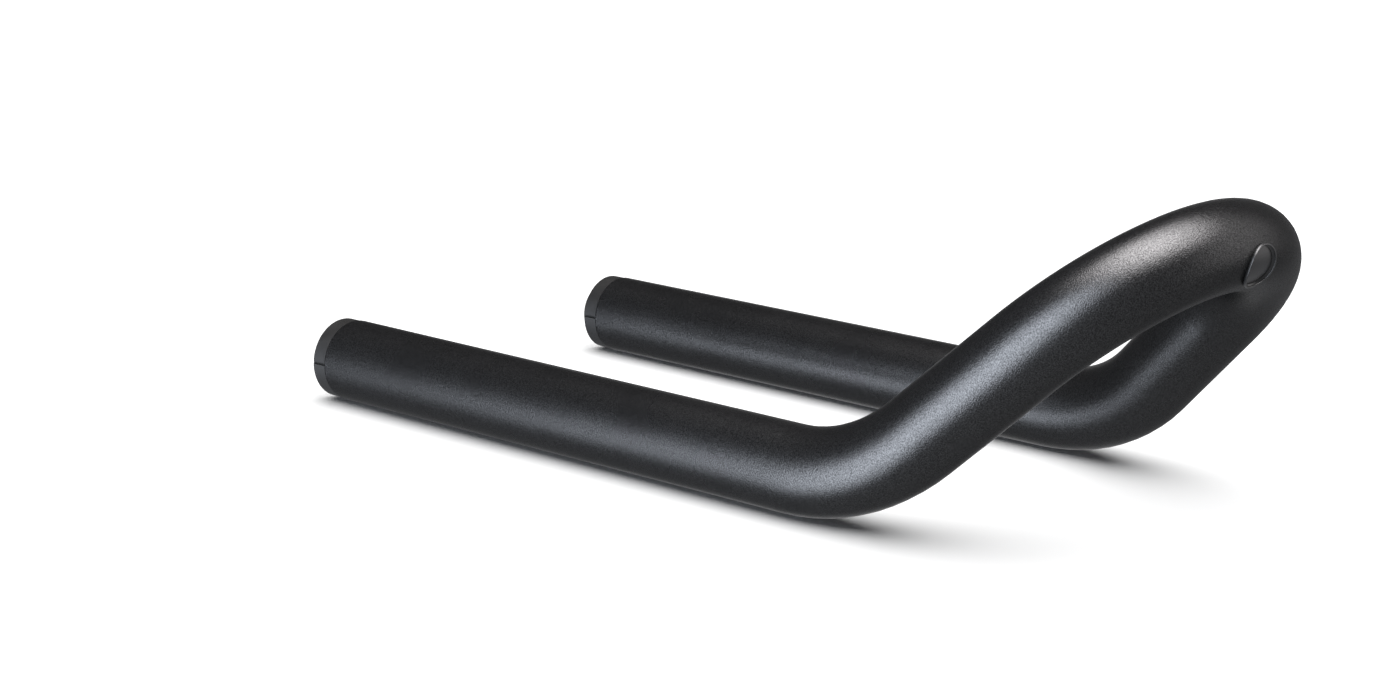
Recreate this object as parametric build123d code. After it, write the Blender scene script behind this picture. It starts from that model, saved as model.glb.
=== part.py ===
from build123d import *
from math import acos, cos, radians, sin, tan
import os

# Aero handlebar extension: a tube bent into one loop, with a plugged cable port at its tip and a plug
# in each rear end. +Y points forwards and +Z up, and the part rests on its two straight legs.
# All sizes are in millimetres and degrees.

# The bent tube
tube_diameter = 22.2
tube_wall = 2.0
leg_spacing = 108.0  # between the axes of the two legs
leg_length = 158.0  # straight, from the rear end to the first bend
leg_bend_radius = 47.0  # at the tube's centre line
rise_angle = 45.0  # the loop's plane above the legs
taper_angle = 12.0  # each riser's lean towards the other, in the loop's plane
riser_length = 32.0  # straight, between the leg's bend and the loop
end_chamfer = 0.4

# The cable port at the loop's tip, and the plug that closes it
port_diameter = 11.0
port_droop = 17.5  # the port points forwards and this much below level
port_clearance = 0.1  # between the plug and the tube, all round
flange_overlap = 0.3  # past the port's edge
flange_height = 0.9  # above the tube's surface, all round
undercut_width = 0.2  # under the lip, round the flange's foot
undercut_height = 0.45
lip_width = 0.45
lip_rounding = 0.15
dish_depth = 0.8  # below the lip, all round
dish_bevel = 0.45  # between the dish's wall and its floor
barb_overlap = 0.5  # past the port's edge, inside the tube
barb_depth = 4.0  # below the top of the tube's bore
barb_lead_in = 1.0
port_plug_wall = 1.4

# The plugs in the rear ends
head_length = 7.0
head_bevel = 2.5
head_inset = 0.2  # lets a clamp slide over the head
shank_length = 20.0
shank_wall = 1.8
rib_count = 3
rib_height = 0.6
rib_width = 1.6
rib_clearance = 0.1  # between the ribs and the tube's bore
notch_width = 0.8
notch_depth = 1.0

# Sizes that follow from these
tube_radius = tube_diameter / 2
bore_radius = tube_radius - tube_wall
half_spacing = leg_spacing / 2
port_radius = port_diameter / 2
rise = radians(rise_angle)
taper = radians(taper_angle)
droop = radians(port_droop)

# The right-hand riser's direction, and how far the leg's bend reaches to each side of its corner
riser_direction = Vector(-sin(taper), cos(taper) * cos(rise), cos(taper) * sin(rise))
bend_turn = acos(riser_direction.Y)
bend_reach = leg_bend_radius * tan(bend_turn / 2)
leg_end_y = -bend_reach - leg_length

# The loop is the arc that joins the upper ends of both risers
riser_reach = bend_reach + riser_length
loop_radius = (half_spacing - riser_reach * sin(taper)) / cos(taper)
loop_centre_up = riser_reach * cos(taper) - loop_radius * sin(taper)
rise_plane = Plane(origin=(0, 0, 0), x_dir=(1, 0, 0), z_dir=(0, -sin(rise), cos(rise)))
loop_plane = rise_plane * Pos(0, loop_centre_up, 0)
loop_tip = rise_plane.from_local_coords((0, loop_centre_up + loop_radius, 0))

# The port's frame starts on the tube's centre line, and its Z axis points out of the tube
port_plane = Plane(origin=loop_tip, x_dir=(1, 0, 0), z_dir=(0, cos(droop), -sin(droop)))

STANDING = (Align.CENTER, Align.CENTER, Align.MIN)
HANGING = (Align.CENTER, Align.CENTER, Align.MAX)


def centre_line():
    """The tube's centre line, from the right-hand rear end round the loop to the left-hand one."""
    corner = Vector(half_spacing, 0, 0)
    apex = corner + riser_direction * (half_spacing / sin(taper))
    right = [Vector(half_spacing, leg_end_y, 0), corner]
    left = [Vector(-point.X, point.Y, point.Z) for point in reversed(right)]
    return FilletPolyline(*right, apex, *left, radius=[leg_bend_radius, loop_radius, leg_bend_radius])


def loop_ring(section_radius):
    """A full ring on the loop's arc, for shapes that follow the tube around its port."""
    return loop_plane * Torus(loop_radius, section_radius)


def extension_tube():
    """The tube: swept outside and bore, broken rear edges, and the port drilled through one wall."""
    path = centre_line()
    end_plane = Plane(origin=path @ 0, z_dir=path % 0)
    tube = sweep(end_plane * Circle(tube_radius), path=path)
    rear_rims = tube.edges().filter_by(GeomType.CIRCLE).group_by(Axis.Y)[0]
    tube = chamfer(rear_rims, end_chamfer)
    tube -= sweep(end_plane * Circle(bore_radius), path=path)
    return tube - port_plane * Cylinder(port_radius, tube_diameter, align=STANDING)


def port_plug():
    """The port's plug: a dished flange on the tube, a shank through the wall and a barb in the bore."""
    flange_radius = port_radius + flange_overlap
    shank_radius = port_radius - port_clearance
    barb_radius = port_radius + barb_overlap
    dish_radius = flange_radius - lip_width
    seat = tube_radius + port_clearance
    top = tube_radius + flange_height
    floor = top - dish_depth
    barb_end = bore_radius - barb_depth

    flange = port_plane * Cylinder(flange_radius, 2 * top, align=STANDING) & loop_ring(top)
    flange -= loop_ring(seat)
    underside = flange.faces().filter_by(GeomType.TORUS).sort_by(Axis.Y)[0]
    foot = flange.edges().sort_by(Axis.Y)[0]
    flange = chamfer(foot, undercut_width, undercut_height, reference=underside)

    barb = Cylinder(barb_radius, bore_radius - barb_end, align=STANDING)
    barb = chamfer(barb.edges().group_by(Axis.Z)[0], barb_lead_in)
    barb = port_plane * Pos(0, 0, barb_end) * barb & loop_ring(bore_radius - port_clearance)

    shank = port_plane * Pos(0, 0, barb_end) * Cylinder(shank_radius, top, align=STANDING)
    shank &= loop_ring((seat + top) / 2)
    dish = port_plane * Cylinder(dish_radius, 2 * top, align=STANDING) - loop_ring(floor)
    dish = chamfer(dish.edges().sort_by(Axis.Y)[0], dish_bevel)
    hollow_height = floor - port_plug_wall - barb_end
    hollow = Pos(0, 0, barb_end) * Cylinder(shank_radius - port_plug_wall, hollow_height, align=STANDING)
    plug = flange + shank + barb - dish - port_plane * hollow
    lip_edges = plug.edges().sort_by(Axis.Y)[-2:]
    return fillet(lip_edges, lip_rounding)


def end_plug(leg_x):
    """A rear end's plug: a bevelled head with a notch in each side, and a hollow shank with barbed ribs."""
    head_radius = tube_radius - head_inset
    rib_radius = bore_radius - rib_clearance
    shank_radius = rib_radius - rib_height
    rib_pitch = shank_length / (rib_count + 1)

    head = Cylinder(head_radius, head_length, align=STANDING)
    head = chamfer(head.edges().group_by(Axis.Z)[-1], head_bevel)
    notch = Box(2 * notch_depth, notch_width, head_length, align=STANDING)
    head -= [Pos(side * head_radius, 0, 0) * notch for side in (-1, 1)]

    shank = Cylinder(shank_radius, shank_length, align=HANGING)
    rib = Cone(shank_radius, rib_radius, rib_width)
    shank += [Pos(0, 0, -rib_pitch * (row + 1)) * rib for row in range(rib_count)]
    shank -= Cylinder(shank_radius - shank_wall, shank_length, align=HANGING)

    rear_end = Plane(origin=(leg_x, leg_end_y, 0), x_dir=(1, 0, 0), z_dir=(0, -1, 0))
    return rear_end * (head + shank)


nodes = {
    "extension_tube": extension_tube(),
    "port_plug": port_plug(),
    "end_plug_right": end_plug(half_spacing),
    "end_plug_left": end_plug(-half_spacing),
}

# The origin is under the middle of the part, on the surface that it rests on
box = Compound(list(nodes.values())).bounding_box()
place = Pos(0, -box.center().Y, -box.min.Z)

os.makedirs("parts", exist_ok=True)
for name, solid in nodes.items():
    export_step(place * solid, f"parts/{name}.step")
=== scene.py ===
from math import cos, pi, radians, sin, tan

import bpy
from mathutils import Matrix, Vector


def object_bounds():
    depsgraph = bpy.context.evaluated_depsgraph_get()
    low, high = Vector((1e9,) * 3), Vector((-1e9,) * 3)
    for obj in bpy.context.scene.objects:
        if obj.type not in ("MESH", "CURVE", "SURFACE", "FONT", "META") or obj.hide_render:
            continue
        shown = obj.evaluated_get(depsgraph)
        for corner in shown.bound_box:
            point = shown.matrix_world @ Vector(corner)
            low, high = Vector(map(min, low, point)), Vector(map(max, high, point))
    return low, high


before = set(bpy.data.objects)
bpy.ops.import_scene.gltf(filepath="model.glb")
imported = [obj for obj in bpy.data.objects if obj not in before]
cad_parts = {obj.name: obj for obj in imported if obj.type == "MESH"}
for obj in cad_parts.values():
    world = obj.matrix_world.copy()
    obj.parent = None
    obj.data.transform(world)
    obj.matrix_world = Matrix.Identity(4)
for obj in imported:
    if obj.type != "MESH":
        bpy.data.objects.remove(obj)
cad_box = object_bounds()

# An aero handlebar extension on a pale floor: a bead-blasted black tube with moulded plugs.
# Lengths are in metres and angles in degrees. Azimuths run from +Y towards +X.

# The camera
CAMERA_TARGET = Vector((0.10755, 0.05032, 0.04987))
CAMERA_AZIMUTH = 49.21
CAMERA_ELEVATION = 11.81
CAMERA_ROLL = 2.38
CAMERA_DISTANCE = 0.65
CAMERA_CLIP_START = 0.01
CAMERA_LENS_MM = 75.15
SENSOR_WIDTH_MM = 36.0

# The soft boxes. Their angles are as seen from the object, and their brightness is that of their middle
SOFT_BOX_DISTANCE = 1.2
SOFT_BOX_FADE = 16.0  # makes the fade 1 in a box's middle
SOFT_BOXES = {
    "key": dict(azimuth=92.0, elevation=3.6, roll=-30.2, width=62.8, height=110.0,
                brightness=12.6, colour=(0.833, 0.892, 1.0)),
    "top": dict(azimuth=6.0, elevation=75.9, roll=-4.0, width=61.0, height=73.0,
                brightness=16.8, colour=(1.0, 0.968, 0.983)),
    "side": dict(azimuth=-125.2, elevation=-20.1, roll=0.0, width=32.9, height=74.2,
                 brightness=0.5, colour=(1.0, 1.0, 1.0)),
    "fill": dict(azimuth=-42.0, elevation=24.0, roll=0.0, width=64.0, height=80.0,
                 brightness=1.6, colour=(1.0, 0.97, 0.98)),
}

# The dim surroundings, with what each axis adds to their level
SURROUND_COLOUR = (0.95, 0.96, 1.0, 1)
SURROUND_LEVEL = 0.203
SURROUND_SLOPE = (-0.025, 0.085, -0.315)
WHITE = (1, 1, 1, 1)

# The floor, and the light that falls on it alone
FLOOR_HALF_WIDTH = 40.0
FLOOR_COLOUR = (0.9, 0.9, 0.9, 1)
FLOOR_ROUGHNESS = 0.9
FLOOR_LIGHT = 5.0
FLOOR_LIGHT_SPREAD = 100.0

# The noise in every finish. Its scales are in lumps to the metre
NOISE_LOW = 0.3  # most of the noise lies between these two
NOISE_HIGH = 0.7
DRIFT_DETAIL = 3.0

# The tube's finish
TUBE_DARK = (0.02, 0.02, 0.02, 1)
TUBE_LIGHT = (0.06, 0.06, 0.06, 1)
TUBE_METALLIC = 0.9
TUBE_EDGE_TINT = (0.55, 0.55, 0.55, 1)  # weakens the glare along the tube's outline
TUBE_SMOOTHEST = 0.26
TUBE_ROUGHEST = 0.3
TUBE_DRIFT_SCALE = 60.0
TUBE_GRAIN_SCALE = 3200.0
TUBE_GRAIN_DETAIL = 1.0
TUBE_GRAIN_DEPTH = 0.00006

# The plugs' finishes
PLUG_ROUGHNESS_DRIFT = 0.04
PLUG_DRIFT_SCALE = 150.0
PLUG_GRAIN_SCALE = 3000.0
PLUG_GRAIN_DETAIL = 2.0
PORT_RUBBER = dict(dark=(0.006, 0.006, 0.006, 1), light=(0.01, 0.01, 0.01, 1),
                   roughness=0.3, specular=0.48, grain_depth=0.00001)
PLUG_PLASTIC = dict(dark=(0.006, 0.0058, 0.0054, 1), light=(0.009, 0.0087, 0.0082, 1),
                    roughness=0.5, specular=0.3, grain_depth=0.00002)


def direction(azimuth, elevation):
    """The unit vector that points that way from the object."""
    turn = radians(azimuth)
    rise = radians(elevation)
    return Vector((sin(turn) * cos(rise), cos(turn) * cos(rise), sin(rise)))


def aimed(place, target, roll):
    """A matrix at a place, with its -Z axis towards the target and its Y axis upright but for the roll."""
    back = (place - target).normalized()
    right = Vector((0, 0, 1)).cross(back).normalized()
    up = back.cross(right)
    turn = Matrix((right, up, back)).transposed() @ Matrix.Rotation(radians(roll), 3, "Z")
    return Matrix.Translation(place) @ turn.to_4x4()


def link(name, data):
    """A new object in the scene."""
    thing = bpy.data.objects.new(name, data)
    bpy.context.scene.collection.objects.link(thing)
    return thing


def light_group(name, things):
    """A collection of the things that a light falls on."""
    group = bpy.data.collections.new(name)
    for thing in things:
        group.objects.link(thing)
    return group


def join(tree, value, socket):
    """Feeds a socket from another node's output, or sets it."""
    if isinstance(value, bpy.types.NodeSocket):
        tree.links.new(value, socket)
    else:
        socket.default_value = value


def maths(tree, operation, first, second):
    """The result of an operation on two numbers."""
    node = tree.nodes.new("ShaderNodeMath")
    node.operation = operation
    join(tree, first, node.inputs[0])
    join(tree, second, node.inputs[1])
    return node.outputs["Value"]


def vector_maths(tree, operation, first, second):
    """The result of an operation on two vectors."""
    node = tree.nodes.new("ShaderNodeVectorMath")
    node.operation = operation
    join(tree, first, node.inputs[0])
    join(tree, second, node.inputs[1])
    return node.outputs["Value" if operation == "DOT_PRODUCT" else "Vector"]


def mix_colours(tree, share, first, second):
    """A mix of two colours, in which the second has that share."""
    node = tree.nodes.new("ShaderNodeMix")
    node.data_type = "RGBA"
    tree.links.new(share, node.inputs["Factor"])
    node.inputs["A"].default_value = first
    node.inputs["B"].default_value = second
    return node.outputs["Result"]


def noise(tree, scale, detail):
    """Noise in the object's own space."""
    node = tree.nodes.new("ShaderNodeTexNoise")
    node.inputs["Scale"].default_value = scale
    node.inputs["Detail"].default_value = detail
    tree.links.new(tree.nodes.new("ShaderNodeTexCoord").outputs["Object"], node.inputs["Vector"])
    return node.outputs["Fac"]


def spread(tree, source, low, high):
    """Noise stretched to run from low to high."""
    node = tree.nodes.new("ShaderNodeMapRange")
    node.inputs["From Min"].default_value = NOISE_LOW
    node.inputs["From Max"].default_value = NOISE_HIGH
    node.inputs["To Min"].default_value = low
    node.inputs["To Max"].default_value = high
    tree.links.new(source, node.inputs["Value"])
    return node.outputs["Result"]


def new_material(name):
    """A node material and its shader's inputs."""
    material = bpy.data.materials.new(name)
    material.use_nodes = True
    return material, material.node_tree.nodes["Principled BSDF"].inputs


def roughen(tree, inputs, height, depth):
    """Fine relief of about that depth."""
    bump = tree.nodes.new("ShaderNodeBump")
    bump.inputs["Strength"].default_value = 1.0
    bump.inputs["Distance"].default_value = depth
    tree.links.new(height, bump.inputs["Height"])
    tree.links.new(bump.outputs["Normal"], inputs["Normal"])


def blasted_black():
    """Satin black anodised aluminium with the fine grain of bead blasting."""
    material, inputs = new_material("blasted_black")
    tree = material.node_tree
    grain = noise(tree, TUBE_GRAIN_SCALE, TUBE_GRAIN_DETAIL)
    speckle = mix_colours(tree, spread(tree, grain, 0.0, 1.0), TUBE_DARK, TUBE_LIGHT)
    drift = noise(tree, TUBE_DRIFT_SCALE, DRIFT_DETAIL)
    roughness = spread(tree, drift, TUBE_SMOOTHEST, TUBE_ROUGHEST)
    tree.links.new(speckle, inputs["Base Color"])
    tree.links.new(roughness, inputs["Roughness"])
    inputs["Metallic"].default_value = TUBE_METALLIC
    inputs["Specular Tint"].default_value = TUBE_EDGE_TINT
    roughen(tree, inputs, grain, TUBE_GRAIN_DEPTH)
    return material


def moulded_black(name, dark, light, roughness, specular, grain_depth):
    """Moulded black rubber or plastic, whose colour and roughness drift a little."""
    material, inputs = new_material(name)
    tree = material.node_tree
    drift = noise(tree, PLUG_DRIFT_SCALE, DRIFT_DETAIL)
    colour = mix_colours(tree, spread(tree, drift, 0.0, 1.0), dark, light)
    smoothest = roughness - PLUG_ROUGHNESS_DRIFT
    roughest = roughness + PLUG_ROUGHNESS_DRIFT
    tree.links.new(colour, inputs["Base Color"])
    tree.links.new(spread(tree, drift, smoothest, roughest), inputs["Roughness"])
    inputs["Specular IOR Level"].default_value = specular
    roughen(tree, inputs, noise(tree, PLUG_GRAIN_SCALE, PLUG_GRAIN_DETAIL), grain_depth)
    return material


def pale_floor():
    """The floor's dull, even finish."""
    material, inputs = new_material("pale_floor")
    inputs["Base Color"].default_value = FLOOR_COLOUR
    inputs["Roughness"].default_value = FLOOR_ROUGHNESS
    inputs["Specular IOR Level"].default_value = 0.0
    return material


def add_camera():
    """The camera, at the photograph's viewing angle."""
    data = bpy.data.cameras.new("camera")
    data.sensor_fit = "HORIZONTAL"
    data.sensor_width = SENSOR_WIDTH_MM
    data.lens = CAMERA_LENS_MM
    data.clip_start = CAMERA_CLIP_START
    camera = link("camera", data)
    place = CAMERA_TARGET + direction(CAMERA_AZIMUTH, CAMERA_ELEVATION) * CAMERA_DISTANCE
    camera.matrix_world = aimed(place, CAMERA_TARGET, CAMERA_ROLL)
    bpy.context.scene.camera = camera


def add_surround():
    """Dim surroundings, lighter below and in front, which the camera sees as white."""
    world = bpy.data.worlds.new("studio")
    world.use_nodes = True
    tree = world.node_tree
    background = tree.nodes["Background"]
    heading = tree.nodes.new("ShaderNodeTexCoord").outputs["Generated"]
    slope = vector_maths(tree, "DOT_PRODUCT", heading, SURROUND_SLOPE)
    level = maths(tree, "MAXIMUM", maths(tree, "ADD", slope, SURROUND_LEVEL), 0.0)
    seen = tree.nodes.new("ShaderNodeLightPath").outputs["Is Camera Ray"]
    tree.links.new(maths(tree, "MAXIMUM", level, seen), background.inputs["Strength"])
    tree.links.new(mix_colours(tree, seen, SURROUND_COLOUR, WHITE), background.inputs["Color"])
    bpy.context.scene.world = world


def fade_to_edges(data):
    """Makes a soft box brightest in its middle and dark at its edges."""
    data.use_nodes = True
    tree = data.node_tree
    across = tree.nodes.new("ShaderNodeNewGeometry").outputs["Parametric"]
    rest = vector_maths(tree, "SUBTRACT", (1, 1, 1), across)
    both_ways = tree.nodes.new("ShaderNodeSeparateXYZ")
    tree.links.new(vector_maths(tree, "MULTIPLY", across, rest), both_ways.inputs["Vector"])
    fade = maths(tree, "MULTIPLY", both_ways.outputs["X"], both_ways.outputs["Y"])
    tree.links.new(maths(tree, "MULTIPLY", fade, SOFT_BOX_FADE), tree.nodes["Emission"].inputs["Strength"])


def add_soft_box(name, azimuth, elevation, roll, width, height, brightness, colour):
    """A soft box that faces the object and lights nothing else."""
    data = bpy.data.lights.new(name, "AREA")
    data.shape = "RECTANGLE"
    data.size = 2 * SOFT_BOX_DISTANCE * tan(radians(width / 2))
    data.size_y = 2 * SOFT_BOX_DISTANCE * tan(radians(height / 2))
    data.energy = brightness * pi * data.size * data.size_y
    data.color = colour
    fade_to_edges(data)

    centre = (cad_box[0] + cad_box[1]) / 2
    light = link(name, data)
    place = centre + direction(azimuth, elevation) * SOFT_BOX_DISTANCE
    light.matrix_world = aimed(place, centre, roll)
    light.light_linking.receiver_collection = light_group(name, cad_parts.values())
    light.visible_camera = False


def add_floor():
    """The pale floor that the object rests on, with even light of its own from straight above."""
    mesh = bpy.data.meshes.new("floor")
    sides = (-FLOOR_HALF_WIDTH, FLOOR_HALF_WIDTH)
    corners = [(x, y, 0) for x in sides for y in sides]
    mesh.from_pydata(corners, [], [(0, 2, 3, 1)])
    mesh.materials.append(pale_floor())
    floor = link("floor", mesh)
    floor.visible_glossy = False
    floor.visible_diffuse = False
    floor.visible_shadow = False

    data = bpy.data.lights.new("floor_light", "SUN")
    data.energy = FLOOR_LIGHT
    data.angle = radians(FLOOR_LIGHT_SPREAD)
    light = link("floor_light", data)
    light.light_linking.receiver_collection = light_group("floor_light", [floor])


def dress(node, material):
    """Gives a CAD node its finish."""
    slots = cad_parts[node].data.materials
    slots.clear()
    slots.append(material)


bpy.context.scene.view_settings.view_transform = "Standard"
bpy.context.scene.cycles.denoising_prefilter = "NONE"  # keeps the tube's grain crisp
add_camera()
add_surround()
for name, settings in SOFT_BOXES.items():
    add_soft_box(name, **settings)
add_floor()

dress("extension_tube", blasted_black())
dress("port_plug", moulded_black("port_rubber", **PORT_RUBBER))
plug_plastic = moulded_black("plug_plastic", **PLUG_PLASTIC)
dress("end_plug_right", plug_plastic)
dress("end_plug_left", plug_plastic)
